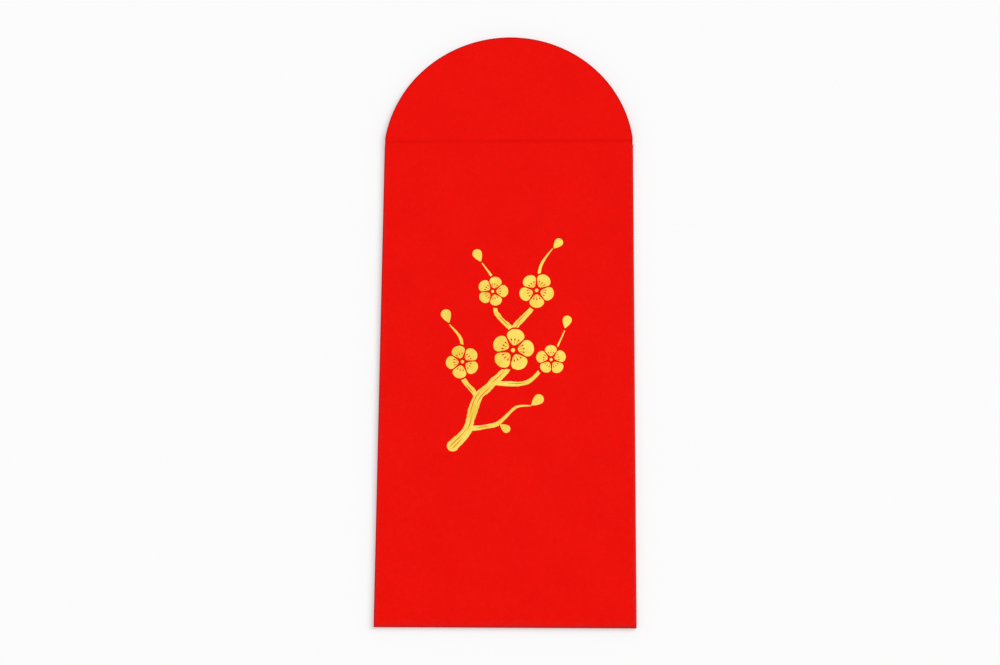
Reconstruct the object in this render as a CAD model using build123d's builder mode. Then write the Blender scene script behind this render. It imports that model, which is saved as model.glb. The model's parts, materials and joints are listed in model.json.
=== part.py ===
"""Red envelope for gift money: one folded paper sheet with a round-topped closing flap and gold stamping.

Millimetres. It lies on its back: the front faces +Z, +Y runs up it to the closing flap and +X across it.
The origin is on the surface that it lies on, under the middle of its outline.
"""

import math
import os

from build123d import *

# Sheet and pouch
envelope_width = 85.0
envelope_height = 165.0  # bottom fold to crease
paper = 0.25
pocket_depth = 0.8  # room between the front and the paste tab
paste_film = 0.05
cut_gap = 0.15  # where the blank is cut apart beside a fold

# Closing flap and its scored crease
flap_rise = 38.0  # crease to the top of the arc
flap_inset = 0.15  # the flap is cut this much narrower on each side
flap_rest_gap = 0.05  # between the closed flap and the back panel
score_width = 1.4
score_depth = 0.12

# Back of the pouch
mouth_drop = 6.0  # the back's top edge lies this far below the crease
mouth_slope_width = 9.0  # the top edge slopes up to the right fold over this width
seam_setback = 1.0  # the back's free edge lies this far inside the left fold
back_corner_radius = 2.0
tab_width = 13.0
tab_bevel = 5.0  # rise of the tab's slanted ends
tab_end_gap = 3.0
seam_paste_width = 9.0
seam_paste_end_gap = 9.0

# Bottom flap
bottom_flap_height = 19.0
bottom_flap_inset = 0.05
bottom_flap_taper = 4.0  # how far each side leans in over the flap's height
bottom_flap_corner_radius = 4.0
bottom_paste_height = 9.0
bottom_paste_end_gap = 6.0
bottom_paste_drop = 2.5  # from the flap's free edge

# Gold stamping: a sprig of plum blossom
foil_thickness = 0.04
sprig_width = 41.0
sprig_height = 71.0
sprig_center_height = 93.5  # above the bottom fold
branch_width = 4.0
blossom_radius = 7.0
bud_radius = 1.7
foil_gap = 0.6  # bare paper left around each blossom

# Branches as (across, up, width), shares of the sprig's width and height and of the branch width
branch_stroke_shares = [
    [(0.07, 0.02, 0.95), (0.19, 0.10, 0.78), (0.27, 0.25, 0.74), (0.50, 0.39, 0.62), (0.55, 0.57, 0.52),
     (0.74, 0.71, 0.36), (0.77, 0.88, 0.22), (0.87, 0.97, 0.08)],
    [(0.27, 0.25, 0.46), (0.13, 0.36, 0.36), (0.13, 0.52, 0.26), (0.03, 0.60, 0.08)],
    [(0.38, 0.32, 0.44), (0.66, 0.32, 0.36), (0.86, 0.44, 0.22), (0.97, 0.57, 0.08)],
    [(0.55, 0.57, 0.44), (0.41, 0.66, 0.36), (0.40, 0.80, 0.24), (0.29, 0.90, 0.08)],
    [(0.19, 0.10, 0.44), (0.42, 0.12, 0.34), (0.57, 0.20, 0.22), (0.70, 0.21, 0.08)],
]

# Blossoms as (across, up, radius, turn in degrees), shares of the sprig and of the blossom radius
blossom_shares = [
    (0.55, 0.475, 1.00, 8),
    (0.14, 0.420, 0.80, 40),
    (0.86, 0.430, 0.72, 20),
    (0.74, 0.765, 0.86, 55),
    (0.38, 0.760, 0.74, 2),
]

# One petal as (outwards, sideways), shares of the blossom's radius, and each petal's own length
petal_base_shares = (0.23, 0)
petal_flank_shares = (0.45, 0.26)
petal_shoulder_shares = (0.74, 0.385)
petal_shoulder_radius_share = 0.2
petal_length_shares = [1.0, 0.94, 1.03, 0.96, 1.01]
eye_radius_share = 0.1

# Buds as (across, up, radius, heading in degrees), shares of the sprig and of the bud radius
bud_shares = [
    (0.00, 0.650, 1.00, 110),
    (0.99, 0.620, 0.90, 75),
    (0.25, 0.945, 0.95, 115),
    (0.76, 0.240, 1.00, 40),
    (0.92, 1.000, 0.85, 50),
    (0.50, 0.100, 0.80, -35),
]
bud_tail_share = 1.5  # distance of a bud's pointed end, in bud radii
bud_tail_radius_share = 0.3

# Layers from the surface up, each by its lower face
bottom_flap_z = 0
bottom_paste_z = bottom_flap_z + paper
back_z = bottom_paste_z + paste_film
seam_paste_z = back_z + paper
tab_z = seam_paste_z + paste_film
front_z = tab_z + paper + pocket_depth
depth = front_z + paper

# Places along the front
bottom_edge = -(envelope_height + flap_rise) / 2
crease_y = bottom_edge + envelope_height
flap_top = crease_y + flap_rise
sprig_center_y = bottom_edge + sprig_center_height

# Folds turn the sheet half round, from the front panel to the layer that they carry
left_fold_radius = (depth - tab_z) / 2
right_fold_radius = (depth - back_z) / 2
bottom_fold_radius = (depth - bottom_flap_z) / 2
front_left = left_fold_radius - envelope_width / 2
front_right = envelope_width / 2 - right_fold_radius
front_low = bottom_edge + bottom_fold_radius

# The crease strip is as long as the half turn that it makes round the mouth when the flap is closed
closed_flap_z = back_z - flap_rest_gap - paper
crease_radius = (front_z - closed_flap_z) / 2
crease_length = math.pi * crease_radius
crease_low = crease_y - crease_length / 2
crease_high = crease_y + crease_length / 2
flap_half_width = envelope_width / 2 - flap_inset
hinge_z = (closed_flap_z + depth) / 2

side_fold_low = front_low + cut_gap
side_fold_high = crease_low - cut_gap
back_high = crease_y - mouth_drop
back_left = seam_setback - envelope_width / 2

os.makedirs("parts", exist_ok=True)


def half_ring(outer_radius):
    """A fold's section, bulging along local +X."""
    with BuildSketch() as ring:
        Circle(outer_radius)
        Circle(outer_radius - paper, mode=Mode.SUBTRACT)
        split(bisect_by=Plane.YZ, keep=Keep.TOP)
    return ring.sketch


def sprig_point(across_share, up_share):
    """A place on the front face, in millimetres, from shares of the sprig's box."""
    return Vector(
        (across_share - 1 / 2) * sprig_width,
        sprig_center_y + (up_share - 1 / 2) * sprig_height,
    )


def brush_stroke(stroke_shares):
    """A branch that tapers from its rounded heel to its tip, with flowing edges."""
    middle = [sprig_point(across, up) for across, up, _ in stroke_shares]
    halves = [width_share * branch_width / 2 for _, _, width_share in stroke_shares]
    behind = [middle[0]] + middle[:-1]
    ahead = middle[1:] + [middle[-1]]
    headings = [(after - before).normalized() for before, after in zip(behind, ahead)]
    sides = [heading.rotate(Axis.Z, 90) * half for heading, half in zip(headings, halves)]
    left = [point + side for point, side in zip(middle, sides)]
    right = [point - side for point, side in zip(middle, sides)]
    heel = middle[0] - headings[0] * halves[0]
    tip = middle[-1] + headings[-1] * halves[-1]
    with BuildSketch() as stroke:
        with BuildLine():
            Spline(*right)
            ThreePointArc(right[-1], tip, left[-1])
            Spline(*reversed(left))
            ThreePointArc(left[0], heel, right[0])
        make_face()
    return stroke.sketch


def petal(length):
    """One petal along local +X: a round tip, soft shoulders and two flanks that meet at its narrow base."""
    base = Vector(*petal_base_shares) * length
    flank = Vector(*petal_flank_shares) * length
    shoulder = Vector(*petal_shoulder_shares) * length
    lower_flank = Vector(flank.X, -flank.Y)
    lower_shoulder = Vector(shoulder.X, -shoulder.Y)
    with BuildSketch() as shape:
        with BuildLine():
            ThreePointArc(base, lower_flank, lower_shoulder)
            ThreePointArc(lower_shoulder, (length, 0), shoulder)
            ThreePointArc(shoulder, flank, base)
        make_face()
        shoulders = shape.vertices().filter_by(lambda corner: corner.X > flank.X)
        fillet(shoulders, radius=petal_shoulder_radius_share * length)
    return shape.sketch


def bud(radius):
    """A drop with its round end along local +X and its narrow end on the twig."""
    with BuildSketch() as shape:
        Circle(radius)
        with Locations((-radius * bud_tail_share, 0)):
            Circle(radius * bud_tail_radius_share)
        make_hull()
    return shape.sketch


# Front panel
with BuildPart() as front_panel:
    with BuildSketch(Plane.XY.offset(front_z)):
        with Locations((front_left, front_low)):
            Rectangle(front_right - front_left, crease_low - front_low, align=(Align.MIN, Align.MIN))
    extrude(amount=paper)
front_panel.part.label = "front_panel"
export_step(front_panel.part, "parts/front_panel.step")

# Left fold, which turns the paste tab in
left_fold_plane = Plane(
    origin=(front_left, side_fold_low, depth - left_fold_radius), x_dir=(-1, 0, 0), z_dir=(0, 1, 0)
)
with BuildPart() as left_side_fold:
    with BuildSketch(left_fold_plane):
        add(half_ring(left_fold_radius))
    extrude(amount=side_fold_high - side_fold_low)
left_side_fold.part.label = "left_side_fold"
export_step(left_side_fold.part, "parts/left_side_fold.step")

# Paste tab, with slanted ends
tab_low = side_fold_low + tab_end_gap
tab_high = back_high - tab_end_gap
with BuildPart() as side_paste_tab:
    with BuildSketch(Plane.XY.offset(tab_z)):
        with BuildLine():
            Polyline(
                (front_left, tab_low),
                (front_left + tab_width, tab_low + tab_bevel),
                (front_left + tab_width, tab_high - tab_bevel),
                (front_left, tab_high),
                close=True,
            )
        make_face()
    extrude(amount=paper)
side_paste_tab.part.label = "side_paste_tab"
export_step(side_paste_tab.part, "parts/side_paste_tab.step")

# Right fold, which carries the back
right_fold_plane = Plane(
    origin=(front_right, side_fold_low, depth - right_fold_radius), x_dir=(1, 0, 0), z_dir=(0, 1, 0)
)
with BuildPart() as right_side_fold:
    with BuildSketch(right_fold_plane):
        add(half_ring(right_fold_radius))
    extrude(amount=side_fold_high - side_fold_low)
right_side_fold.part.label = "right_side_fold"
export_step(right_side_fold.part, "parts/right_side_fold.step")

# Back panel, rounded on its pasted edge and sloped up to its fold
with BuildPart() as back_panel:
    with BuildSketch(Plane.XY.offset(back_z)) as back_outline:
        with BuildLine():
            Polyline(
                (back_left, side_fold_low),
                (front_right, side_fold_low),
                (front_right, side_fold_high),
                (front_right - mouth_slope_width, back_high),
                (back_left, back_high),
                close=True,
            )
        make_face()
        fillet(back_outline.vertices().group_by(Axis.X)[0], radius=back_corner_radius)
    extrude(amount=paper)
back_panel.part.label = "back_panel"
export_step(back_panel.part, "parts/back_panel.step")

# Paste between the tab and the back
seam_paste_left = back_left + (front_left + tab_width - back_left - seam_paste_width) / 2
with BuildPart() as side_seam_paste:
    with BuildSketch(Plane.XY.offset(seam_paste_z)):
        with Locations((seam_paste_left, tab_low + seam_paste_end_gap)):
            Rectangle(
                seam_paste_width,
                tab_high - tab_low - 2 * seam_paste_end_gap,
                align=(Align.MIN, Align.MIN),
            )
    extrude(amount=paste_film)
side_seam_paste.part.label = "side_seam_paste"
export_step(side_seam_paste.part, "parts/side_seam_paste.step")

# Bottom fold, which turns the bottom flap up outside the back
bottom_flap_half_width = envelope_width / 2 - bottom_flap_inset
bottom_fold_plane = Plane(
    origin=(-bottom_flap_half_width, front_low, depth - bottom_fold_radius), x_dir=(0, -1, 0), z_dir=(1, 0, 0)
)
with BuildPart() as bottom_fold:
    with BuildSketch(bottom_fold_plane):
        add(half_ring(bottom_fold_radius))
    extrude(amount=2 * bottom_flap_half_width)
bottom_fold.part.label = "bottom_fold"
export_step(bottom_fold.part, "parts/bottom_fold.step")

# Bottom flap, tapered and rounded at its free edge
bottom_flap_high = front_low + bottom_flap_height
with BuildPart() as bottom_flap:
    with BuildSketch(Plane.XY.offset(bottom_flap_z)) as bottom_flap_outline:
        with BuildLine():
            Polyline(
                (-bottom_flap_half_width, front_low),
                (bottom_flap_half_width, front_low),
                (bottom_flap_half_width - bottom_flap_taper, bottom_flap_high),
                (bottom_flap_taper - bottom_flap_half_width, bottom_flap_high),
                close=True,
            )
        make_face()
        fillet(bottom_flap_outline.vertices().group_by(Axis.Y)[-1], radius=bottom_flap_corner_radius)
    extrude(amount=paper)
bottom_flap.part.label = "bottom_flap"
export_step(bottom_flap.part, "parts/bottom_flap.step")

# Paste between the bottom flap and the back
with BuildPart() as bottom_flap_paste:
    with BuildSketch(Plane.XY.offset(bottom_paste_z)):
        with Locations((0, bottom_flap_high - bottom_paste_drop)):
            Rectangle(
                2 * (bottom_flap_half_width - bottom_flap_taper - bottom_paste_end_gap),
                bottom_paste_height,
                align=(Align.CENTER, Align.MAX),
            )
    extrude(amount=paste_film)
bottom_flap_paste.part.label = "bottom_flap_paste"
export_step(bottom_flap_paste.part, "parts/bottom_flap_paste.step")

# Crease strip: a valley pressed into the front face stands as a bead on the inner face
score_low = crease_y - score_width / 2
score_high = crease_y + score_width / 2
with BuildPart() as flap_crease:
    with BuildSketch(Plane.YZ.offset(-flap_half_width)):
        with BuildLine():
            Polyline((score_low, depth), (crease_low, depth), (crease_low, front_z), (score_low, front_z))
            ThreePointArc((score_low, front_z), (crease_y, front_z - score_depth), (score_high, front_z))
            Polyline((score_high, front_z), (crease_high, front_z), (crease_high, depth), (score_high, depth))
            ThreePointArc((score_high, depth), (crease_y, depth - score_depth), (score_low, depth))
        make_face()
    extrude(amount=2 * flap_half_width)
flap_crease.part.label = "flap_crease"
export_step(flap_crease.part, "parts/flap_crease.step")

# Closing flap: one arc over the full width
with BuildPart() as closing_flap:
    with BuildSketch(Plane.XY.offset(front_z)):
        with BuildLine():
            Line((-flap_half_width, crease_high), (flap_half_width, crease_high))
            ThreePointArc((flap_half_width, crease_high), (0, flap_top), (-flap_half_width, crease_high))
        make_face()
    extrude(amount=paper)
closing_flap.part.label = "closing_flap"
export_step(closing_flap.part, "parts/closing_flap.step")

# Gold foil, stamped on the front face
foil_plane = Plane.XY.offset(depth)
branch_strokes = [brush_stroke(shares) for shares in branch_stroke_shares]
blossoms = [
    (sprig_point(across, up), size * blossom_radius, turn) for across, up, size, turn in blossom_shares
]
buds = [(sprig_point(across, up), size * bud_radius, heading) for across, up, size, heading in bud_shares]

with BuildPart() as foil_branch:
    with BuildSketch(foil_plane):
        for stroke in branch_strokes:
            add(stroke)
        for centre, radius, _ in blossoms:
            with Locations(centre):
                Circle(radius + foil_gap, mode=Mode.SUBTRACT)
    extrude(amount=foil_thickness)
foil_branch.part.label = "foil_branch"
export_step(foil_branch.part, "parts/foil_branch.step")

with BuildPart() as foil_blossoms:
    with BuildSketch(foil_plane):
        for centre, radius, turn in blossoms:
            for i, length_share in enumerate(petal_length_shares):
                with Locations(Location(centre, turn + i * 360 / len(petal_length_shares))):
                    add(petal(radius * length_share))
            with Locations(centre):
                Circle(radius * eye_radius_share)
    extrude(amount=foil_thickness)
foil_blossoms.part.label = "foil_blossoms"
export_step(foil_blossoms.part, "parts/foil_blossoms.step")

with BuildPart() as foil_buds:
    with BuildSketch(foil_plane):
        for centre, radius, heading in buds:
            with Locations(Location(centre, heading)):
                add(bud(radius))
    extrude(amount=foil_thickness)
foil_buds.part.label = "foil_buds"
export_step(foil_buds.part, "parts/foil_buds.step")

print(f"flap hinge at y {crease_y:.3f}, z {hinge_z:.4f}")
print(f"crease strip from y {crease_low:.3f} to {crease_high:.3f}")
print(f"depth {depth:.2f}; bottom edge at y {bottom_edge:.2f}; flap top at y {flap_top:.2f}")
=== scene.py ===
import json
import math

import bmesh
import bpy
import numpy as np
from mathutils import Matrix, Vector
from mathutils.geometry import delaunay_2d_cdt


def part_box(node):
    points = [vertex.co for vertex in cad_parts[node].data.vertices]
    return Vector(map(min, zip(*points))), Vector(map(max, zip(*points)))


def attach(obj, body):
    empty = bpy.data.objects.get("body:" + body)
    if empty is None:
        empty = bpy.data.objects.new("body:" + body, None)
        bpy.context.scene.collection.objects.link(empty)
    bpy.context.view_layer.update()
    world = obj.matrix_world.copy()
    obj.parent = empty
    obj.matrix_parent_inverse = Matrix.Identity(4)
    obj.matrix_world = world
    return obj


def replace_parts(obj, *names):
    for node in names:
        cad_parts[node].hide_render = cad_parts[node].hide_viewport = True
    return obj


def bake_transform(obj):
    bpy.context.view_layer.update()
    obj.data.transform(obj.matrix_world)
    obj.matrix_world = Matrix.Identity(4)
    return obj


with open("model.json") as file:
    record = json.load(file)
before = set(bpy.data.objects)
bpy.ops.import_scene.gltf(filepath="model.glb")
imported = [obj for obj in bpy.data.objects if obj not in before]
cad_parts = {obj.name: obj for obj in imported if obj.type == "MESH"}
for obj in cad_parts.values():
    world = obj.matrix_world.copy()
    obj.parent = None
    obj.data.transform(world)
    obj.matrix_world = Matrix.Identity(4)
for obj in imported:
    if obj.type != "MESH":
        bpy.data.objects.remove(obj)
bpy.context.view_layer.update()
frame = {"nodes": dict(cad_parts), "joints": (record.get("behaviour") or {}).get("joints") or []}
mm = 0.001
scene = bpy.context.scene
scene.view_settings.view_transform = "Standard"


class Wire:  # one output socket; sums and products of wires add their own Math nodes
    def __init__(self, socket):
        self.socket = socket

    def __getitem__(self, output):  # another output of the same node
        return Wire(self.socket.node.outputs[output])

    @staticmethod
    def make(tree, kind, settings=None, inputs=None):
        node = tree.nodes.new(kind)
        for key, value in (settings or {}).items():
            if key == "stops":
                ramp = node.color_ramp.elements
                while len(ramp) < len(value):
                    ramp.new(1.0)
                for element, (place, colour) in zip(ramp, value):
                    element.position = place
                    element.color = colour
            else:
                setattr(node, key, value)
        for key, value in (inputs or {}).items():
            for single in value if isinstance(value, list) else [value]:
                if isinstance(single, Wire):
                    tree.links.new(single.socket, node.inputs[key])
                else:
                    node.inputs[key].default_value = single
        return Wire(node.outputs[0]) if len(node.outputs) else node

    def maths(self, operation, first, second):
        return Wire.make(
            self.socket.id_data, "ShaderNodeMath", {"operation": operation}, {0: first, 1: second}
        )

    def __add__(self, other):
        return self.maths("ADD", self, other)

    def __radd__(self, other):
        return self.maths("ADD", other, self)

    def __sub__(self, other):
        return self.maths("SUBTRACT", self, other)

    def __rsub__(self, other):
        return self.maths("SUBTRACT", other, self)

    def __mul__(self, other):
        return self.maths("MULTIPLY", self, other)

    def __rmul__(self, other):
        return self.maths("MULTIPLY", other, self)


noiseMiddle = 0.5  # every noise swings about this


# a material and its Principled shader, whose even values are set on its own sockets
def newFinish(name, **even):
    finish = bpy.data.materials.new(name)
    finish.use_nodes = True
    shader = finish.node_tree.nodes["Principled BSDF"]
    for socket, value in even.items():
        shader.inputs[socket.replace("_", " ")].default_value = value
    return finish, finish.node_tree, shader


def feed(tree, shader, **wires):  # links wires to the shader's sockets
    for socket, wire in wires.items():
        tree.links.new(wire.socket, shader.inputs[socket.replace("_", " ")])


def objectPlaces(tree):
    return Wire.make(tree, "ShaderNodeTexCoord")["Object"]


def noiseField(tree, places, spanMm, detail=2.0, roughness=0.5):  # spanMm is the size of one blotch
    return Wire.make(
        tree, "ShaderNodeTexNoise", {"noise_dimensions": "3D"},
        {"Vector": places, "Scale": 1 / (spanMm * mm), "Detail": detail, "Roughness": roughness},
    )["Fac"]


def turnedPlaces(tree, places, turnDeg, stretch):  # places turned about Z, then drawn out along each axis
    return Wire.make(
        tree, "ShaderNodeMapping", {"vector_type": "TEXTURE"},
        {"Vector": places, "Rotation": (0, 0, math.radians(turnDeg)), "Scale": stretch},
    )


def wearAndShadeField(tree, label):  # a share of rubbed dye, cut core and painted shade, each under its own label, that the sheet's own points or faces carry, 0 where they carry none
    return Wire.make(tree, "ShaderNodeAttribute", {"attribute_name": label})["Fac"]


def ease(tree, wire, start, end):  # 0 before start, 1 after end, smooth between
    return Wire.make(
        tree, "ShaderNodeMapRange", {"interpolation_type": "SMOOTHSTEP"},
        {"Value": wire, "From Min": start, "From Max": end},
    )


def mixColour(tree, factor, first, second):
    return Wire.make(tree, "ShaderNodeMix", {"data_type": "RGBA"}, {0: factor, 6: first, 7: second})[2]


def bumped(tree, height, depthMm, strength=1.0):
    return Wire.make(
        tree, "ShaderNodeBump", None,
        {"Height": height, "Distance": depthMm * mm, "Strength": strength},
    )


redPaperLook = {
    # tones of the dyed sheet, from the felt's hollows to its crests: painted shade in the hollows and
    # painted light on the crests, over tone that differs at random
    "tones": [
        (0.0, (0.700, 0.0008, 0.0002, 1)),
        (0.5, (0.833, 0.0030, 0.0008, 1)),
        (1.0, (0.965, 0.0062, 0.0018, 1)),
    ],
    "midTone": 0.5,
    "cloudMm": 14.0,
    "cloudDetail": 3.0,
    "cloudTone": 0.3,
    "feltMm": 1.4,
    "feltTone": 0.35,
    "grainMm": 0.30,
    "grainTone": 0.9,
    "feltDetail": 3.0,  # of felt and grain alike
    "feltRoughness": 0.6,
    "fibreRed": (0.960, 0.0300, 0.0170, 1),
    "fibreShare": 0.35,
    "fibreMm": 0.075,
    "fibreDetail": 1.0,
    "fibreStretch": (1, 11, 3),
    "fibreTurnsDeg": (14, 58, 97, 151),
    "fibreRange": (0.68, 0.76),
    "wornRed": (0.545, 0.0200, 0.0180, 1),  # rubbed dye and painted shade along the folds
    "wornShare": 0.8,
    "wornGrain": 2.2,
    "wornFelt": 1.4,
    "wornRange": (0.25, 0.95),
    "wornFade": 0.25,
    "pressedRed": (0.600, 0.0004, 0.0001, 1),  # packed fibres and painted shade along the scored line
    "pressedShare": 0.31,
    "pressedCloud": 2.4,
    "pressedGrain": 2.0,
    "pressedRange": (0.05, 0.95),
    "pinchedRed": (0.430, 0.0040, 0.0040, 1),  # the flap's rim, squeezed by the die and painted with edge shade
    "pinchedShare": 0.9,
    "pinchedGrain": 1.6,
    "pinchedRange": (0.05, 0.85),
    "coreRed": (0.700, 0.0120, 0.0080, 1),  # loose fibres where the sheet is cut
    "coreShare": 0.5,
    "coreGrain": 0.5,
    "reliefFelt": 0.5,
    "reliefGrain": 0.8,
    "reliefFibre": 0.3,
    "grainDepthMm": 0.06,
    "roughness": 0.78,
    "roughnessGrain": 0.2,
    "specular": 0.05,
}


def feltAndGrain(tree, places, look):  # the felt's print in the paper, which the foil takes up too
    return [
        noiseField(tree, places, look[span], look["feltDetail"], look["feltRoughness"])
        for span in ("feltMm", "grainMm")
    ]


def redPaper(look):
    finish, tree, shader = newFinish("redPaper", Specular_IOR_Level=look["specular"])
    places = objectPlaces(tree)
    cloud = noiseField(tree, places, look["cloudMm"], look["cloudDetail"])
    felt, grain = feltAndGrain(tree, places, look)
    cloudSwing, feltSwing, grainSwing = [noise - noiseMiddle for noise in (cloud, felt, grain)]
    strands = []
    for turnDeg in look["fibreTurnsDeg"]:
        drawn = turnedPlaces(tree, places, turnDeg, look["fibreStretch"])
        strand = noiseField(tree, drawn, look["fibreMm"], look["fibreDetail"])
        strands.append(ease(tree, strand, *look["fibreRange"]))
    fibres = sum(strands[1:], strands[0])
    # the tone follows the felt and grain of the bump: painted shade in their hollows, painted light on their
    # crests; the cloud differs at random
    tone = look["midTone"] + cloudSwing * look["cloudTone"] + feltSwing * look["feltTone"]
    tone = tone + grainSwing * look["grainTone"]
    colour = Wire.make(tree, "ShaderNodeValToRGB", {"stops": look["tones"]}, {"Fac": tone})
    colour = mixColour(tree, fibres * look["fibreShare"], colour, look["fibreRed"])

    # painted shade along the folds, mixed with rubbed dye, darkest where a fold faces sideways
    ridge = wearAndShadeField(tree, "foldRidge")
    rubAndShade = ridge + grainSwing * look["wornGrain"] + feltSwing * look["wornFelt"]
    rubAndShade = ease(tree, rubAndShade, *look["wornRange"]) * ease(tree, ridge, 0, look["wornFade"])
    colour = mixColour(tree, rubAndShade * look["wornShare"], colour, look["wornRed"])

    # painted shade in the scored crease, with packed fibres
    uneven = 1 + cloudSwing * look["pressedCloud"] + grainSwing * look["pressedGrain"]
    creasePackAndShade = ease(tree, wearAndShadeField(tree, "scoreLine") * uneven, *look["pressedRange"])
    colour = mixColour(tree, creasePackAndShade * look["pressedShare"], colour, look["pressedRed"])

    # painted edge shade on the flap's rim, with the die's pinch
    uneven = 1 + grainSwing * look["pinchedGrain"]
    rimPinchAndShade = ease(tree, wearAndShadeField(tree, "dieRim") * uneven, *look["pinchedRange"])
    colour = mixColour(tree, rimPinchAndShade * look["pinchedShare"], colour, look["pinchedRed"])

    core = wearAndShadeField(tree, "cutEdge") * (look["coreShare"] + grain * look["coreGrain"])
    colour = mixColour(tree, core, colour, look["coreRed"])
    relief = felt * look["reliefFelt"] + grain * look["reliefGrain"] + fibres * look["reliefFibre"]
    feed(
        tree, shader,
        Base_Color=colour,
        Roughness=look["roughness"] + grainSwing * look["roughnessGrain"],
        Normal=bumped(tree, relief, look["grainDepthMm"]),
    )
    return finish


goldFoilLook = {
    # gold and paleGold are deeper and paler foil; mixed in blotches and over the grain they paint the foil's
    # changing reflection
    "gold": (0.765, 0.520, 0.058, 1),
    "paleGold": (0.945, 0.735, 0.142, 1),
    "midTone": 0.5,
    "shadeMm": 6.0,
    "shadeDetail": 2.0,
    "shadeTone": 1.7,
    "grainTone": 0.7,
    "bareRed": (0.760, 0.0100, 0.0060, 1),  # the paper in the pinholes
    "pinholeMm": 0.10,
    "pinholeDetail": 1.0,
    "pinholeFelt": 0.25,
    "pinholeRange": (0.77, 0.80),
    "reliefFelt": 0.5,
    "reliefGrain": 0.8,
    "grainDepthMm": 0.012,
    "roughness": 0.34,
    "roughnessGrain": 0.25,
    "roughnessBare": 0.3,
}


def goldFoil(look, paperLook):
    finish, tree, shader = newFinish("goldFoil")
    places = objectPlaces(tree)
    shade = noiseField(tree, places, look["shadeMm"], look["shadeDetail"])
    felt, grain = feltAndGrain(tree, places, paperLook)
    shadeSwing, feltSwing, grainSwing = [noise - noiseMiddle for noise in (shade, felt, grain)]
    pinholes = noiseField(tree, places, look["pinholeMm"], look["pinholeDetail"])
    holes = ease(tree, pinholes + feltSwing * look["pinholeFelt"], *look["pinholeRange"])
    # paler gold in blotches and on the grain's crests: painted reflection and highlight
    tone = look["midTone"] + shadeSwing * look["shadeTone"] + grainSwing * look["grainTone"]
    colour = mixColour(tree, tone, look["gold"], look["paleGold"])
    relief = felt * look["reliefFelt"] + grain * look["reliefGrain"]
    feed(
        tree, shader,
        Base_Color=mixColour(tree, holes, colour, look["bareRed"]),
        Metallic=1 - holes,
        Roughness=look["roughness"] + grainSwing * look["roughnessGrain"] + holes * look["roughnessBare"],
        Normal=bumped(tree, relief, look["grainDepthMm"]),
    )
    return finish


driedPasteLook = {
    "dull": (0.62, 0.54, 0.40, 1),
    "pale": (0.80, 0.74, 0.60, 1),
    "dabMm": 2.2,
    "dabDetail": 4.0,
    "dabRoughness": 0.6,
    "dabDepthMm": 0.02,
    "dabStrength": 0.6,
    "roughness": 0.55,
    "roughnessDab": 0.4,
    "specular": 0.3,
}


def driedPaste(look):
    finish, tree, shader = newFinish("driedPaste", Specular_IOR_Level=look["specular"])
    places = objectPlaces(tree)
    dabs = noiseField(tree, places, look["dabMm"], look["dabDetail"], look["dabRoughness"])
    feed(
        tree, shader,
        Base_Color=mixColour(tree, dabs, look["dull"], look["pale"]),
        Roughness=look["roughness"] + (dabs - noiseMiddle) * look["roughnessDab"],
        Normal=bumped(tree, dabs, look["dabDepthMm"], look["dabStrength"]),
    )
    return finish


redPaperFinish = redPaper(redPaperLook)
goldFoilFinish = goldFoil(goldFoilLook, redPaperLook)
driedPasteFinish = driedPaste(driedPasteLook)
print("finishes made")


def nodeBox(node):  # x, y and z ranges of a node, in metres
    low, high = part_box(node)
    return list(zip(low, high))


foldJoint = next(j for j in frame["joints"] if j["name"] == "flap_fold")
creaseY = foldJoint["pos_m"][1]
paperLow, paperHigh = nodeBox("front_panel")[2]
paperThick = paperHigh - paperLow
sheetGrid = {
    "edge": 0.3 * mm,  # the narrow step that keeps an edge crisp
    "sharpDeg": 35,
    "cornerPoints": 12,
}


def spaced(start, end, count, edge):  # even steps with one narrow step at each end
    inset = math.copysign(edge, end - start)
    return np.concatenate([[start], np.linspace(start + inset, end - inset, count), [end]])


def arc(centre, radius, startDeg, endDeg, count=sheetGrid["cornerPoints"]):
    turn = np.radians(np.linspace(startDeg, endDeg, count))
    return [(centre[0] + radius * math.cos(a), centre[1] + radius * math.sin(a)) for a in turn]


def alongLine(points, count, edge=sheetGrid["edge"]):  # a line through points, stepped as spaced() steps
    points = np.array(points, float)
    run = np.concatenate([[0], np.cumsum(np.linalg.norm(np.diff(points, axis=0), axis=1))])
    at = spaced(0, run[-1], count, edge)
    return np.stack([np.interp(at, run, points[:, k]) for k in range(2)], axis=1)


def coonsPatch(low, high, left, right):  # fills four border lines with a grid of points
    s = np.linspace(0, 1, len(low))[None, :, None]
    t = np.linspace(0, 1, len(left))[:, None, None]
    ruled = (1 - t) * low[None] + t * high[None] + (1 - s) * left[:, None] + s * right[:, None]
    corners = (1 - t) * ((1 - s) * low[0] + s * low[-1]) + t * ((1 - s) * high[0] + s * high[-1])
    return ruled - corners


def newPiece(name, mesh, finish):
    mesh.materials.clear()
    mesh.materials.append(finish)
    mesh.polygons.foreach_set("use_smooth", [True] * len(mesh.polygons))
    mesh.set_sharp_from_angle(angle=math.radians(sheetGrid["sharpDeg"]))
    piece = bpy.data.objects.new(name, mesh)
    scene.collection.objects.link(piece)
    return piece


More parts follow.
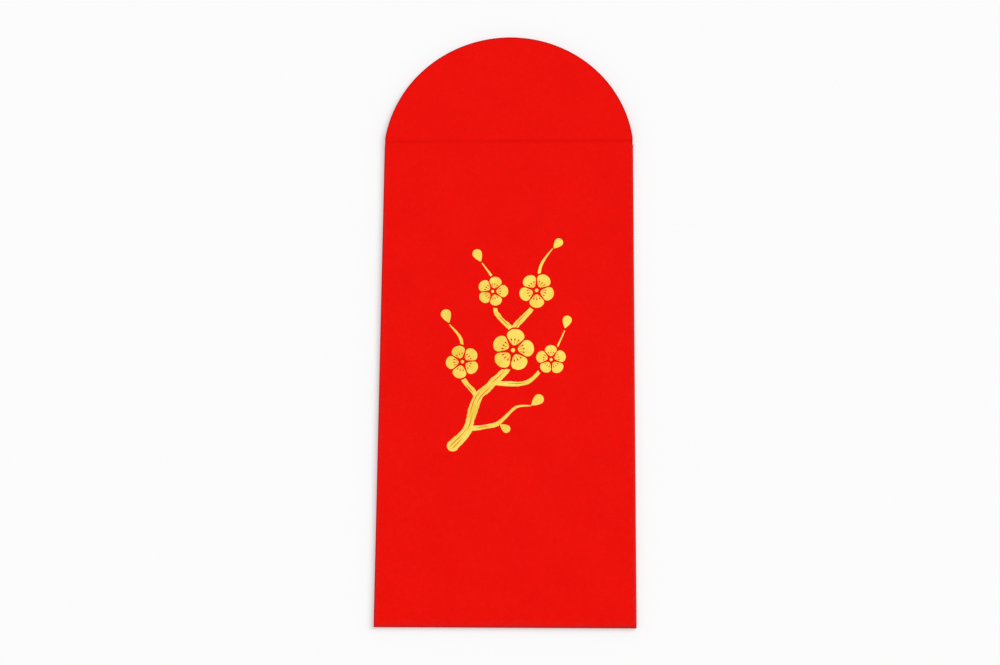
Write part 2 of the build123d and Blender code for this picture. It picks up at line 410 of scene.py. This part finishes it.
# closes two matching grids of points with cut edges all round; the last argument holds a grid of shares for
# each label, of rubbed dye and painted shade
def paperSheet(name, upper, lower, wearAndShade=None):
    rows, columns = upper.shape[:2]
    points = np.concatenate([upper.reshape(-1, 3), lower.reshape(-1, 3)])
    under = rows * columns
    faces = []
    for i in range(rows - 1):
        for j in range(columns - 1):
            a = i * columns + j
            face = (a, a + 1, a + columns + 1, a + columns)
            faces.append(face)
            faces.append(tuple(under + k for k in reversed(face)))
    flats = len(faces)
    rim = list(range(columns)) + [i * columns + columns - 1 for i in range(1, rows)]
    rim += [(rows - 1) * columns + j for j in reversed(range(columns - 1))]
    rim += [i * columns for i in reversed(range(1, rows - 1))]
    for a, b in zip(rim, rim[1:] + rim[:1]):
        faces.append((under + a, under + b, b, a))
    mesh = bpy.data.meshes.new(name)
    mesh.from_pydata([tuple(p) for p in points], [], faces)
    cut = mesh.attributes.new("cutEdge", "FLOAT", "FACE")
    cut.data.foreach_set("value", [0.0] * flats + [1.0] * (len(faces) - flats))
    for label, grid in (wearAndShade or {}).items():
        shares = mesh.attributes.new(label, "FLOAT", "POINT")
        shares.data.foreach_set("value", np.concatenate([grid.ravel(), np.zeros(under)]))
    shape = bmesh.new()
    shape.from_mesh(mesh)
    bmesh.ops.recalc_face_normals(shape, faces=shape.faces)
    shape.to_mesh(mesh)
    shape.free()
    return newPiece(name, mesh, redPaperFinish)


def flatPanel(name, grid, zLow, zHigh, lift=None, wearAndShade=None):
    rise = lift(grid[..., 0], grid[..., 1]) if lift else np.zeros(grid.shape[:2])
    upper = np.concatenate([grid, (zHigh + rise)[..., None]], axis=2)
    lower = np.concatenate([grid, (zLow + rise)[..., None]], axis=2)
    return paperSheet(name, upper, lower, wearAndShade)


def fading(inwards, width):  # 1 at an edge, 0 from a width inside it
    return np.clip(1 - inwards / width, 0, 1)


frontSheet = {
    "across": 56,
    "along": 110,
    "swell": 0.30 * mm,  # the air in the pocket
    "levelPowers": (2, 6),  # how late it levels out towards the side folds, and towards its ends
    "ripple": 0.05 * mm,
    "rippleSpan": 47 * mm,
    "rippleTurns": (5.1, 3.7),  # across and along
    "ripplePhases": (1.3, 0.4),
    "foldWear": 0.4,  # rubbed dye and painted shade where a fold leaves the front
    "wearMargin": 1.8 * mm,  # how far in it fades
}


def fromMiddle(places, span):  # -1 to 1 over a range
    low, high = span
    return (2 * places - low - high) / (high - low)


def frontLift(x, y):  # how far the front stands out of its plane; level at all its folds
    lift, wave = 1, 1
    span = frontSheet["rippleSpan"]
    for places, reach, power, turns, phase in zip(
        (x, y), nodeBox("front_panel"),
        frontSheet["levelPowers"], frontSheet["rippleTurns"], frontSheet["ripplePhases"],
    ):
        lift = lift * np.clip(1 - fromMiddle(places, reach) ** power, 0, 1) ** 2
        wave = wave * np.sin(places / span * turns + phase)
    return lift * (frontSheet["swell"] + frontSheet["ripple"] * wave)


def frontPanel():
    (x0, x1), (y0, y1), (z0, z1) = nodeBox("front_panel")
    low = alongLine([(x0, y0), (x1, y0)], frontSheet["across"])
    high = alongLine([(x0, y1), (x1, y1)], frontSheet["across"])
    left = alongLine([(x0, y0), (x0, y1)], frontSheet["along"])
    right = alongLine([(x1, y0), (x1, y1)], frontSheet["along"])
    grid = coonsPatch(low, high, left, right)
    inwards = np.minimum(np.minimum(grid[..., 0] - x0, x1 - grid[..., 0]), grid[..., 1] - y0)
    # rubbed dye and painted shade, fading in from the folds
    rubAndShade = frontSheet["foldWear"] * fading(inwards, frontSheet["wearMargin"])
    return flatPanel("frontPanel", grid, z0, z1, frontLift, {"foldRidge": rubAndShade})


roundFold = {
    "steps": 40,
    "lengths": 24,
    "slit": 0.03 * mm,  # the cuts beside the bottom fold and the crease strip
}


def halfTurn(name, middle, outwards, outer, start, end):  # a fold round a straight axis
    up = np.array((0, 0, 1.0))
    outwards = np.array(outwards, float)
    turn = np.linspace(0, math.pi, roundFold["steps"] + 1)
    ring = np.cos(turn)[:, None] * up + np.sin(turn)[:, None] * outwards
    share = np.linspace(0, 1, roundFold["lengths"] + 1)[:, None]
    axis = share * (np.array(end) - np.array(start)) + np.array(start)
    radii = (outer, outer - paperThick)
    grids = [axis[None, :, :] + middle + radius * ring[:, None, :] for radius in radii]
    # rubbed dye and painted shade over the fold, strongest where it faces sideways
    fromFront = np.where(turn < math.pi / 2, frontSheet["foldWear"] * (1 - np.sin(turn)), 0)
    rubAndShade = np.repeat((fromFront + np.sin(turn))[:, None], len(share), axis=1)
    return paperSheet(name, *grids, {"foldRidge": rubAndShade})


def sideFold(name, node, outwards):
    (x0, x1), _, (z0, z1) = nodeBox(node)
    inner = x1 if outwards < 0 else x0
    y0 = nodeBox("bottom_fold")[1][1] + roundFold["slit"]
    y1 = nodeBox("flap_crease")[1][0] - roundFold["slit"]
    middle = np.array((inner, 0, (z0 + z1) / 2))
    return halfTurn(name, middle, (outwards, 0, 0), (z1 - z0) / 2, (0, y0, 0), (0, y1, 0))


def bottomFold():
    (x0, x1), (y0, y1), (z0, z1) = nodeBox("bottom_fold")
    middle = np.array((0, y1, (z0 + z1) / 2))
    return halfTurn("bottomFold", middle, (0, -1, 0), (z1 - z0) / 2, (x0, 0, 0), (x1, 0, 0))


pasteTab = {"across": 10, "along": 60, "bevel": 5.0 * mm}


def sidePasteTab():
    (x0, x1), (y0, y1), (z0, z1) = nodeBox("side_paste_tab")
    bevel = pasteTab["bevel"]
    low = alongLine([(x0, y0), (x1, y0 + bevel)], pasteTab["across"])
    high = alongLine([(x0, y1), (x1, y1 - bevel)], pasteTab["across"])
    left = alongLine([(x0, y0), (x0, y1)], pasteTab["along"])
    right = alongLine([(x1, y0 + bevel), (x1, y1 - bevel)], pasteTab["along"])
    return flatPanel("sidePasteTab", coonsPatch(low, high, left, right), z0, z1)


backSheet = {
    "across": 56,
    "along": 110,
    "mouthDrop": 6.0 * mm,
    "slopeWidth": 9.0 * mm,
    "cornerRadius": 2.0 * mm,
}


def backPanel():
    (x0, x1), (y0, y1), (z0, z1) = nodeBox("back_panel")
    mouth = creaseY - backSheet["mouthDrop"]
    slope = x1 - backSheet["slopeWidth"]
    r = backSheet["cornerRadius"]
    corners = arc((x0 + r, y0 + r), r, 270, 180) + arc((x0 + r, mouth - r), r, 180, 90)
    low = alongLine([(x0 + r, y0), (x1, y0)], backSheet["across"])
    high = alongLine([(x0 + r, mouth), (slope, mouth), (x1, y1)], backSheet["across"])
    left = alongLine(corners, backSheet["along"])
    right = alongLine([(x1, y0), (x1, y1)], backSheet["along"])
    return flatPanel("backPanel", coonsPatch(low, high, left, right), z0, z1)


bottomTurnUp = {"across": 60, "along": 24, "taper": 4.0 * mm, "cornerRadius": 4.0 * mm}


def bottomFlap():
    (x0, x1), (y0, y1), (z0, z1) = nodeBox("bottom_flap")
    taper, r = bottomTurnUp["taper"], bottomTurnUp["cornerRadius"]
    lean = math.degrees(math.atan2(taper, y1 - y0))
    inset = r * math.tan(math.radians((90 - lean) / 2))
    corner = arc((x1 - taper - inset, y1 - r), r, -lean, 90)
    low = alongLine([(x0, y0), (x1, y0)], bottomTurnUp["across"])
    high = alongLine([(-corner[-1][0], y1), corner[-1]], bottomTurnUp["across"])
    right = alongLine([(x1, y0)] + corner, bottomTurnUp["along"])
    left = right * np.array((-1, 1))
    return flatPanel("bottomFlap", coonsPatch(low, high, left, right), z0, z1)


dieCut = {"rim": 0.55 * mm}  # how far in the die pinches the flap and its crease, and edge shade is painted
creasePress = {
    "across": 60,
    "along": 33,
    "halfWidth": 0.95 * mm,  # of the pressed valley
    "depth": 0.12 * mm,
    "darkHalf": 1.0 * mm,  # of the painted shade line in it, with packed fibres
}


def flapCrease():
    (x0, x1), (y0, y1), (_, z1) = nodeBox("flap_crease")
    rim = dieCut["rim"]
    low = alongLine([(x0, y0), (x1, y0)], creasePress["across"], rim)
    high = alongLine([(x0, y1), (x1, y1)], creasePress["across"], rim)
    steps = np.linspace(y0, y1, creasePress["along"])
    left, right = [np.stack([np.full(len(steps), x), steps], axis=1) for x in (x0, x1)]
    grid = coonsPatch(low, high, left, right)

    def valley(x, y):
        near = np.clip(np.abs(y - creaseY) / creasePress["halfWidth"], 0, 1)
        return -creasePress["depth"] * np.cos(near * math.pi / 2) ** 2

    # painted shade along the score with packed fibres, and painted edge shade with the die's pinch at the
    # strip's cut ends
    wearAndShade = {
        "scoreLine": fading(np.abs(grid[..., 1] - creaseY), creasePress["darkHalf"]),
        "dieRim": fading(np.minimum(grid[..., 0] - x0, x1 - grid[..., 0]), rim),
    }
    return flatPanel("flapCrease", grid, z1 - paperThick, z1, valley, wearAndShade)


flapShape = {
    "across": 60,
    "along": 30,
    "arcPoints": 60,
    "sideArcDeg": 42,  # how much of the round is a side of the grid
    "ripple": 0.03 * mm,
    "rippleTurns": 3.4,
    "ripplePhase": 0.6,
}


def closingFlap():
    (x0, x1), (y0, y1), (z0, z1) = nodeBox("closing_flap")
    rim, rise = dieCut["rim"], y1 - y0
    radius = (x1 * x1 + rise * rise) / (2 * rise)
    middle = (0, y1 - radius)
    ends = math.degrees(math.asin((y0 - middle[1]) / radius))
    turn = ends + flapShape["sideArcDeg"]
    side = arc(middle, radius, ends, turn, flapShape["arcPoints"])
    top = arc(middle, radius, 180 - turn, turn, 2 * flapShape["arcPoints"])
    low = alongLine([(x0, y0), (x1, y0)], flapShape["across"], rim)
    high = alongLine(top, flapShape["across"], rim)
    right = alongLine(side, flapShape["along"], rim)
    left = right * np.array((-1, 1))
    grid = coonsPatch(low, high, left, right)
    inwards = radius - np.hypot(grid[..., 0], grid[..., 1] - middle[1])

    def spring(x, y):
        wave = np.sin(x / x1 * flapShape["rippleTurns"] + flapShape["ripplePhase"])
        return flapShape["ripple"] * ((y - y0) / rise) ** 2 * wave

    # painted edge shade along the cut rim, with the die's pinch
    return flatPanel("closingFlap", grid, z0, z1, spring, {"dieRim": fading(inwards, rim)})


for build, node in (
    (frontPanel, "front_panel"),
    (sidePasteTab, "side_paste_tab"),
    (backPanel, "back_panel"),
    (bottomFold, "bottom_fold"),
    (bottomFlap, "bottom_flap"),
):
    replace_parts(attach(build(), "pouch"), node)
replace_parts(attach(sideFold("leftSideFold", "left_side_fold", -1), "pouch"), "left_side_fold")
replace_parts(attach(sideFold("rightSideFold", "right_side_fold", 1), "pouch"), "right_side_fold")
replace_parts(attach(closingFlap(), "flap"), "closing_flap")

crease = flapCrease()
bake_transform(crease)
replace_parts(crease, "flap_crease")
print("sheet folded")


# the gold stamping is a sprig of plum blossom, in millimetres until it is laid on the paper
sprig = {
    "width": 41.0,
    "height": 71.0,
    "middle": (0.0, -8.0),
    "branchWidth": 4.0,
    "blossomRadius": 7.0,
    "budRadius": 1.7,
    "gap": 0.6,
    "clearShare": 0.85,  # how much of a blossom's round the branch keeps out of
    "clearPoints": 36,
    "thick": 0.04,
    "curveSteps": 10,
    "weld": 1e-5,
}

# branches as (across, up, width), shares of the sprig and of the branch width
branchStrokes = [
    [(0.07, 0.02, 0.95), (0.19, 0.10, 0.78), (0.27, 0.25, 0.74), (0.50, 0.39, 0.62), (0.55, 0.57, 0.52),
     (0.74, 0.71, 0.36), (0.77, 0.88, 0.22), (0.87, 0.97, 0.08)],
    [(0.27, 0.25, 0.46), (0.13, 0.36, 0.36), (0.13, 0.52, 0.26), (0.03, 0.60, 0.08)],
    [(0.38, 0.32, 0.44), (0.66, 0.32, 0.36), (0.86, 0.44, 0.22), (0.97, 0.57, 0.08)],
    [(0.55, 0.57, 0.44), (0.41, 0.66, 0.36), (0.40, 0.80, 0.24), (0.29, 0.90, 0.08)],
    [(0.19, 0.10, 0.44), (0.42, 0.12, 0.34), (0.57, 0.20, 0.22), (0.70, 0.21, 0.08)],
]

# blossoms as (across, up, radius, turn in degrees), shares of the sprig and of the blossom radius
blossoms = [
    (0.55, 0.475, 1.00, 8),
    (0.14, 0.420, 0.80, 40),
    (0.86, 0.430, 0.72, 20),
    (0.74, 0.765, 0.86, 55),
    (0.38, 0.760, 0.74, 2),
]

# buds as (across, up, radius, heading in degrees)
buds = [
    (0.00, 0.650, 1.00, 110),
    (0.99, 0.620, 0.90, 75),
    (0.25, 0.945, 0.95, 115),
    (0.76, 0.240, 1.00, 40),
    (0.92, 1.000, 0.85, 50),
    (0.50, 0.100, 0.80, -35),
]

petalCut = {
    "outline": [(0.24, 0.0), (0.43, 0.25), (0.68, 0.40), (0.91, 0.27), (1.0, 0.0)],  # shares of the radius
    "copies": 5,
    "spread": 0.04,
    "seed": 5,
    "stamenTurnsDeg": (-19, 0, 19),
    "stamen": [(0.30, 0.008), (0.44, 0.012), (0.53, 0.034)],
}
eyeCut = {"radius": 0.10}
budCut = {"tail": 1.5, "tailRadius": 0.3, "belly": [(-0.35, 0.90), (0.25, 0.97), (0.80, 0.60)]}


def sprigPlace(across, up):
    return (
        sprig["middle"][0] + (across - 0.5) * sprig["width"],
        sprig["middle"][1] + (up - 0.5) * sprig["height"],
    )


def scaledPlaces(rows, radius):
    return [(*sprigPlace(across, up), size * radius, turn) for across, up, size, turn in rows]


def closedCurve(name, outlines):  # smooth closed lines through a few points each
    curve = bpy.data.curves.new(name, "CURVE")
    curve.dimensions = "3D"
    curve.resolution_u = sprig["curveSteps"]
    for outline in outlines:
        line = curve.splines.new("BEZIER")
        line.bezier_points.add(len(outline) - 1)
        for knot, (x, y) in zip(line.bezier_points, outline):
            knot.co = (x, y, 0)
            knot.handle_left_type = knot.handle_right_type = "AUTO"
        line.use_cyclic_u = True
    holder = bpy.data.objects.new(name, curve)
    scene.collection.objects.link(holder)
    return holder


# a closed outline from its upper half, whose first and last points lie on the axis; it runs to the left
def bothSides(half):
    return [(x, -y) for x, y in half] + [(x, y) for x, y in reversed(half) if y]


def turned(points, deg):
    c, s = math.cos(math.radians(deg)), math.sin(math.radians(deg))
    return [(x * c - y * s, x * s + y * c) for x, y in points]


def petalOutlines():  # one petal, and the slim drops that are left bare in it
    stamen = petalCut["stamen"]
    drop = bothSides([(stamen[0][0], 0)] + stamen + [(sum(stamen[-1]), 0)])
    return [bothSides(petalCut["outline"])] + [turned(drop, deg) for deg in petalCut["stamenTurnsDeg"]]


def budOutline():
    tail, r = budCut["tail"], budCut["tailRadius"]
    return [bothSides([(-tail - r, 0), (-tail, r)] + budCut["belly"] + [(1, 0)])]


def eyeOutline():
    r = eyeCut["radius"]
    return [[(r, 0), (0, r), (-r, 0), (0, -r)]]


def stampTree():  # stamps copies of an outline round each point, with the point's own turn and size
    tree = bpy.data.node_groups.new("foilStamp", "GeometryNodeTree")
    sockets = {}
    for label, kind in (
        ("Places", "Geometry"), ("Outline", "Object"), ("Copies", "Int"), ("Spread", "Float"),
        ("Thick", "Float"), ("Seed", "Int"), ("Foil", "Material"),
    ):
        socket = tree.interface.new_socket(label, in_out="INPUT", socket_type="NodeSocket" + kind)
        sockets[label] = socket.identifier
    tree.interface.new_socket("Stamps", in_out="OUTPUT", socket_type="NodeSocketGeometry")
    given = Wire.make(tree, "NodeGroupInput")

    line = Wire.make(
        tree, "GeometryNodeObjectInfo", {"transform_space": "ORIGINAL"}, {"Object": given["Outline"]}
    )
    flat = Wire.make(tree, "GeometryNodeFillCurve", {"mode": "TRIANGLES"}, {"Curve": line["Geometry"]})
    raised = Wire.make(
        tree, "GeometryNodeExtrudeMesh", {"mode": "FACES"},
        {"Mesh": flat, "Offset": (0, 0, 1), "Offset Scale": given["Thick"], "Individual": False},
    )
    under = Wire.make(tree, "GeometryNodeFlipFaces", None, {"Mesh": flat})
    solid = Wire.make(tree, "GeometryNodeJoinGeometry", None, {"Geometry": [raised, under]})
    solid = Wire.make(
        tree, "GeometryNodeMergeByDistance", None, {"Geometry": solid, "Distance": sprig["weld"]}
    )

    ring = Wire.make(
        tree, "GeometryNodeDuplicateElements", {"domain": "POINT"},
        {"Geometry": given["Places"], "Amount": given["Copies"]},
    )
    turn, size = [
        Wire.make(tree, "GeometryNodeInputNamedAttribute", {"data_type": "FLOAT"}, {"Name": label})
        for label in ("turn", "size")
    ]
    step = Wire.make(tree, "ShaderNodeMath", {"operation": "DIVIDE"}, {0: math.tau, 1: given["Copies"]})
    heading = Wire.make(tree, "ShaderNodeCombineXYZ", None, {"Z": turn + ring["Duplicate Index"] * step})
    heading = Wire.make(tree, "FunctionNodeEulerToRotation", None, {"Euler": heading})
    own = Wire.make(
        tree, "FunctionNodeRandomValue", {"data_type": "FLOAT"},
        {2: 1 - given["Spread"], 3: 1 + given["Spread"], "Seed": given["Seed"]},
    )[1]
    scale = Wire.make(tree, "ShaderNodeCombineXYZ", None, {"X": size * own, "Y": size * own, "Z": 1.0})
    stamps = Wire.make(
        tree, "GeometryNodeInstanceOnPoints", None,
        {"Points": ring, "Instance": solid, "Rotation": heading, "Scale": scale},
    )
    stamps = Wire.make(tree, "GeometryNodeRealizeInstances", None, {"Geometry": stamps})
    stamps = Wire.make(
        tree, "GeometryNodeSetMaterial", None, {"Geometry": stamps, "Material": given["Foil"]}
    )
    Wire.make(tree, "NodeGroupOutput", None, {"Stamps": stamps})
    return tree, sockets


stampNodes, stampSockets = stampTree()


def stamped(name, places, outlines, copies=1, spread=0.0, seed=1):  # places as (x, y, size, turn in degrees)
    points = bpy.data.meshes.new(name + "Places")
    points.from_pydata([(x, y, 0) for x, y, _, _ in places], [], [])
    for label, values in (
        ("size", [size for _, _, size, _ in places]),
        ("turn", [math.radians(turn) for _, _, _, turn in places]),
    ):
        points.attributes.new(label, "FLOAT", "POINT").data.foreach_set("value", values)
    outline = closedCurve(name + "Outline", outlines)
    holder = bpy.data.objects.new(name + "Places", points)
    scene.collection.objects.link(holder)
    nodes = holder.modifiers.new("stamp", "NODES")
    nodes.node_group = stampNodes
    for label, value in (
        ("Outline", outline), ("Copies", copies), ("Spread", spread),
        ("Thick", sprig["thick"]), ("Seed", seed), ("Foil", goldFoilFinish),
    ):
        nodes[stampSockets[label]] = value
    bpy.context.view_layer.update()
    mesh = bpy.data.meshes.new_from_object(holder.evaluated_get(bpy.context.evaluated_depsgraph_get()))
    holder.modifiers.remove(nodes)
    bpy.data.objects.remove(holder)
    bpy.data.objects.remove(outline)
    return mesh


def layFoil(name, meshes):  # millimetres on the plane to metres on the lifted paper
    joined = bmesh.new()
    for mesh in meshes:
        joined.from_mesh(mesh)
        bpy.data.meshes.remove(mesh)
    bmesh.ops.scale(joined, vec=(mm, mm, mm), verts=joined.verts)
    places = np.array([v.co for v in joined.verts])
    for v, lift in zip(joined.verts, frontLift(places[:, 0], places[:, 1])):
        v.co.z += paperHigh + lift
    mesh = bpy.data.meshes.new(name)
    joined.to_mesh(mesh)
    joined.free()
    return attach(newPiece(name, mesh, goldFoilFinish), "pouch")


blossomPlaces = scaledPlaces(blossoms, sprig["blossomRadius"])
budPlaces = scaledPlaces(buds, sprig["budRadius"])
petals = stamped(
    "petals", blossomPlaces, petalOutlines(), petalCut["copies"], petalCut["spread"], petalCut["seed"]
)
eyes = stamped("eyes", blossomPlaces, eyeOutline())
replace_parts(layFoil("foilBlossoms", [petals, eyes]), "foil_blossoms")
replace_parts(layFoil("foilBuds", [stamped("buds", budPlaces, budOutline())]), "foil_buds")

brush = {
    "step": 0.45,
    "fewestSteps": 3,
    "bend": 0.8,
    "rough": 0.2,
    "shakeSpan": 5,
    "thinnest": 0.08,
    "heelPoints": 9,
    "seed": 11,
    "streakHalf": 0.11,
    "streakTip": 0.12,
    "streakPoints": 17,
    # bare streaks as (stroke, start, end, shift), shares of the stroke's length and half width
    "streaks": [
        (0, -0.030, 0.062, -0.30), (0, -0.030, 0.100, 0.28), (0, 0.080, 0.170, -0.05),
        (0, 0.150, 0.290, 0.45), (0, 0.205, 0.330, -0.40), (0, 0.320, 0.400, 0.12),
        (0, 0.560, 0.640, -0.25), (0, 0.610, 0.680, 0.35), (2, 0.160, 0.330, 0.20),
        (3, 0.100, 0.260, -0.20), (1, 0.100, 0.220, 0.20), (4, 0.150, 0.330, 0.15),
    ],
}


def strokeLine(stroke):  # (x, y, half width) along a stroke, and the way to its left
    halfWidth = sprig["branchWidth"] / 2
    knots = np.array([(*sprigPlace(across, up), width * halfWidth) for across, up, width in stroke])
    before = np.concatenate([knots[:1], knots[:-1]])
    after = np.concatenate([knots[1:], knots[-1:]])
    slopes = (after - before) / 2 * brush["bend"]
    line = []
    for a, b, leaving, coming in zip(knots, knots[1:], slopes, slopes[1:]):
        count = max(brush["fewestSteps"], int(np.linalg.norm((b - a)[:2]) / brush["step"]))
        for t in np.arange(count) / count:
            line.append(
                (2 * t**3 - 3 * t**2 + 1) * a + (t**3 - 2 * t**2 + t) * leaving
                + (3 * t**2 - 2 * t**3) * b + (t**3 - t**2) * coming
            )
    line = np.array(line + [knots[-1]])
    along = np.gradient(line[:, :2], axis=0)
    along /= np.linalg.norm(along, axis=1)[:, None]
    return line, np.stack([-along[:, 1], along[:, 0]], axis=1)


def strokeOutline(line, side, draws):  # a brush stroke's closed outline, with its shaken edges
    span = brush["shakeSpan"]
    edges = []
    for way in (-1, 1):
        shake = np.convolve(draws.normal(size=len(line) + span - 1), np.ones(span) / span, "valid")
        half = np.maximum(line[:, 2] * (1 + brush["rough"] * shake), brush["thinnest"])
        edges.append([tuple(p) for p in line[:, :2] + way * side * half[:, None]])
    heel = math.degrees(math.atan2(side[0, 1], side[0, 0]))
    cap = arc(line[0, :2], line[0, 2], heel, heel + 180, brush["heelPoints"])
    return edges[0] + edges[1][::-1] + cap[1:-1]


def streakOutline(line, side, start, end, shift):  # a slim gap that the brush leaves, as it runs dry
    count, tip = brush["streakPoints"], brush["streakTip"]
    at = np.linspace(start, end, count) * (len(line) - 1)
    near = np.clip(at, 0, len(line) - 1)
    x, y, half, sx, sy = [
        np.interp(near, np.arange(len(line)), row) for row in (*line.T, *side.T)
    ]
    over = (at - near) * np.linalg.norm(line[1, :2] - line[0, :2])  # how far it starts before the stroke
    middle = np.stack([x + sx * shift * half + sy * over, y + sy * shift * half - sx * over], axis=1)
    swell = np.sin(np.linspace(tip, math.pi - tip, count)) * brush["streakHalf"]
    across = np.stack([sx, sy], axis=1) * swell[:, None]
    return [tuple(p) for p in middle - across] + [tuple(p) for p in (middle + across)[::-1]]


def flatOutline(outline):  # points along a smooth closed line
    holder = closedCurve("cutLine", [outline])
    mesh = bpy.data.meshes.new_from_object(holder)
    points = [(v.co.x, v.co.y) for v in mesh.vertices]
    bpy.data.meshes.remove(mesh)
    bpy.data.objects.remove(holder)
    return points


def stampedArea(outlines, cuts):  # the union of outlines less the cuts, as a thin solid
    points, loops = [], []
    for outline in outlines + cuts:
        loops.append(list(range(len(points), len(points) + len(outline))))
        points += [Vector(p) for p in outline]
    spots, _, faces, _, _, sources = delaunay_2d_cdt(points, [], loops, 0, sprig["weld"])
    shape = bmesh.new()
    flat = [shape.verts.new((p.x, p.y, 0)) for p in spots]
    for face, held in zip(faces, sources):
        if held and max(held) < len(outlines):
            shape.faces.new([flat[k] for k in face])
    bmesh.ops.delete(shape, geom=[v for v in flat if not v.link_faces], context="VERTS")
    bmesh.ops.recalc_face_normals(shape, faces=shape.faces)
    grown = bmesh.ops.extrude_face_region(shape, geom=list(shape.faces), use_keep_orig=True)
    top = [g for g in grown["geom"] if isinstance(g, bmesh.types.BMVert)]
    bmesh.ops.translate(shape, vec=(0, 0, sprig["thick"]), verts=top)
    bmesh.ops.recalc_face_normals(shape, faces=shape.faces)
    mesh = bpy.data.meshes.new("area")
    shape.to_mesh(mesh)
    shape.free()
    return mesh


def foilBranch():
    draws = np.random.default_rng(brush["seed"])
    lines = [strokeLine(stroke) for stroke in branchStrokes]
    strokes = [strokeOutline(line, side, draws) for line, side in lines]
    cuts = [streakOutline(*lines[stroke], *place) for stroke, *place in brush["streaks"]]
    petal = flatOutline(bothSides(petalCut["outline"]))
    clearPoints = sprig["clearPoints"]
    for x, y, radius, turn in blossomPlaces:
        grow = radius * (1 + petalCut["spread"]) + sprig["gap"]
        for i in range(petalCut["copies"]):
            spoke = turned(petal, turn + i * 360 / petalCut["copies"])
            cuts.append([(x + px * grow, y + py * grow) for px, py in spoke])
        cuts.append(arc((x, y), sprig["clearShare"] * grow, 0, 360 - 360 / clearPoints, clearPoints))
    return layFoil("foilBranch", [stampedArea(strokes, cuts)])


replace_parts(foilBranch(), "foil_branch")
print("foil stamped")

# the paste films keep their own solids
for node in ("side_seam_paste", "bottom_flap_paste"):
    mesh = frame["nodes"][node].data
    mesh.materials.clear()
    mesh.materials.append(driedPasteFinish)
print("paste finished")

stage = {
    "reach": 4.0,
    "drop": 0.05 * mm,
    "white": (0.955, 0.955, 0.957, 1),
    "roughness": 1.0,
    "specular": 0.0,
    "seenWhite": (1, 1, 1, 1),
    "seenLevel": 0.973,  # the lit floor's own level, so only its shadows are lightened
    "seenShare": 0.35,
}


def directRays(tree):  # 1 for what the camera sees, also in gloss and through glass
    path = Wire.make(tree, "ShaderNodeLightPath")
    return path["Is Camera Ray"] + path["Is Glossy Ray"] + path["Is Transmission Ray"]


def paleFloor():
    r, z = stage["reach"], -stage["drop"]
    mesh = bpy.data.meshes.new("paleFloor")
    mesh.from_pydata([(-r, -r, z), (r, -r, z), (r, r, z), (-r, r, z)], [], [(0, 1, 2, 3)])
    finish, tree, shader = newFinish(
        "paleFloor",
        Base_Color=stage["white"],
        Roughness=stage["roughness"],
        Specular_IOR_Level=stage["specular"],
    )
    seen = Wire.make(
        tree, "ShaderNodeEmission", None, {"Color": stage["seenWhite"], "Strength": stage["seenLevel"]}
    )
    both = Wire.make(
        tree, "ShaderNodeMixShader", None,
        {0: directRays(tree) * stage["seenShare"], 1: Wire(shader.outputs[0]), 2: seen},
    )
    tree.links.new(both.socket, tree.nodes["Material Output"].inputs["Surface"])
    mesh.materials.append(finish)
    floor = bpy.data.objects.new("paleFloor", mesh)
    scene.collection.objects.link(floor)


light = {
    "skyLevel": 0.66,
    "keyFrom": (0.60, 0.35, 0.72),
    "keySpreadDeg": 40,
    "keyLevel": 1.57,
}


def paleSky():
    world = bpy.data.worlds.new("paleSky")
    world.use_nodes = True
    tree = world.node_tree
    tree.nodes.clear()
    lighting, seen = [
        Wire.make(tree, "ShaderNodeBackground", None, {"Color": stage["seenWhite"], "Strength": level})
        for level in (light["skyLevel"], stage["seenLevel"])
    ]
    both = Wire.make(tree, "ShaderNodeMixShader", None, {0: directRays(tree), 1: lighting, 2: seen})
    Wire.make(tree, "ShaderNodeOutputWorld", None, {"Surface": both})
    scene.world = world


def keyLight():  # a far soft light, so that the whole floor is lit alike
    lamp = bpy.data.lights.new("keyLight", "SUN")
    lamp.angle = math.radians(light["keySpreadDeg"])
    lamp.energy = light["keyLevel"]
    holder = bpy.data.objects.new("keyLight", lamp)
    holder.rotation_euler = Vector(light["keyFrom"]).to_track_quat("Z", "Y").to_euler()
    scene.collection.objects.link(holder)


view = {
    "place": (25.93, -160.57, 650.45),  # millimetres
    "aim": (-2.34, -3.63, 1.90),
    "rollDeg": 0.505,
    "lens": 72.0,
    "sensor": 36.0,
    "nearest": 0.01,
}


def photoCamera():
    camera = bpy.data.cameras.new("photoCamera")
    camera.lens = view["lens"]
    camera.sensor_width = view["sensor"]
    camera.clip_start = view["nearest"]
    holder = bpy.data.objects.new("photoCamera", camera)
    place = Vector(view["place"]) * mm
    back = (place - Vector(view["aim"]) * mm).normalized()
    right = Vector((0, 1, 0)).cross(back).normalized()
    up = back.cross(right)
    c, s = math.cos(math.radians(view["rollDeg"])), math.sin(math.radians(view["rollDeg"]))
    axes = Matrix((right * c + up * s, up * c - right * s, back)).transposed()
    holder.matrix_world = Matrix.Translation(place) @ axes.to_4x4()
    scene.collection.objects.link(holder)
    scene.camera = holder


paleFloor()
paleSky()
keyLight()
photoCamera()
print("stage, light and camera set")
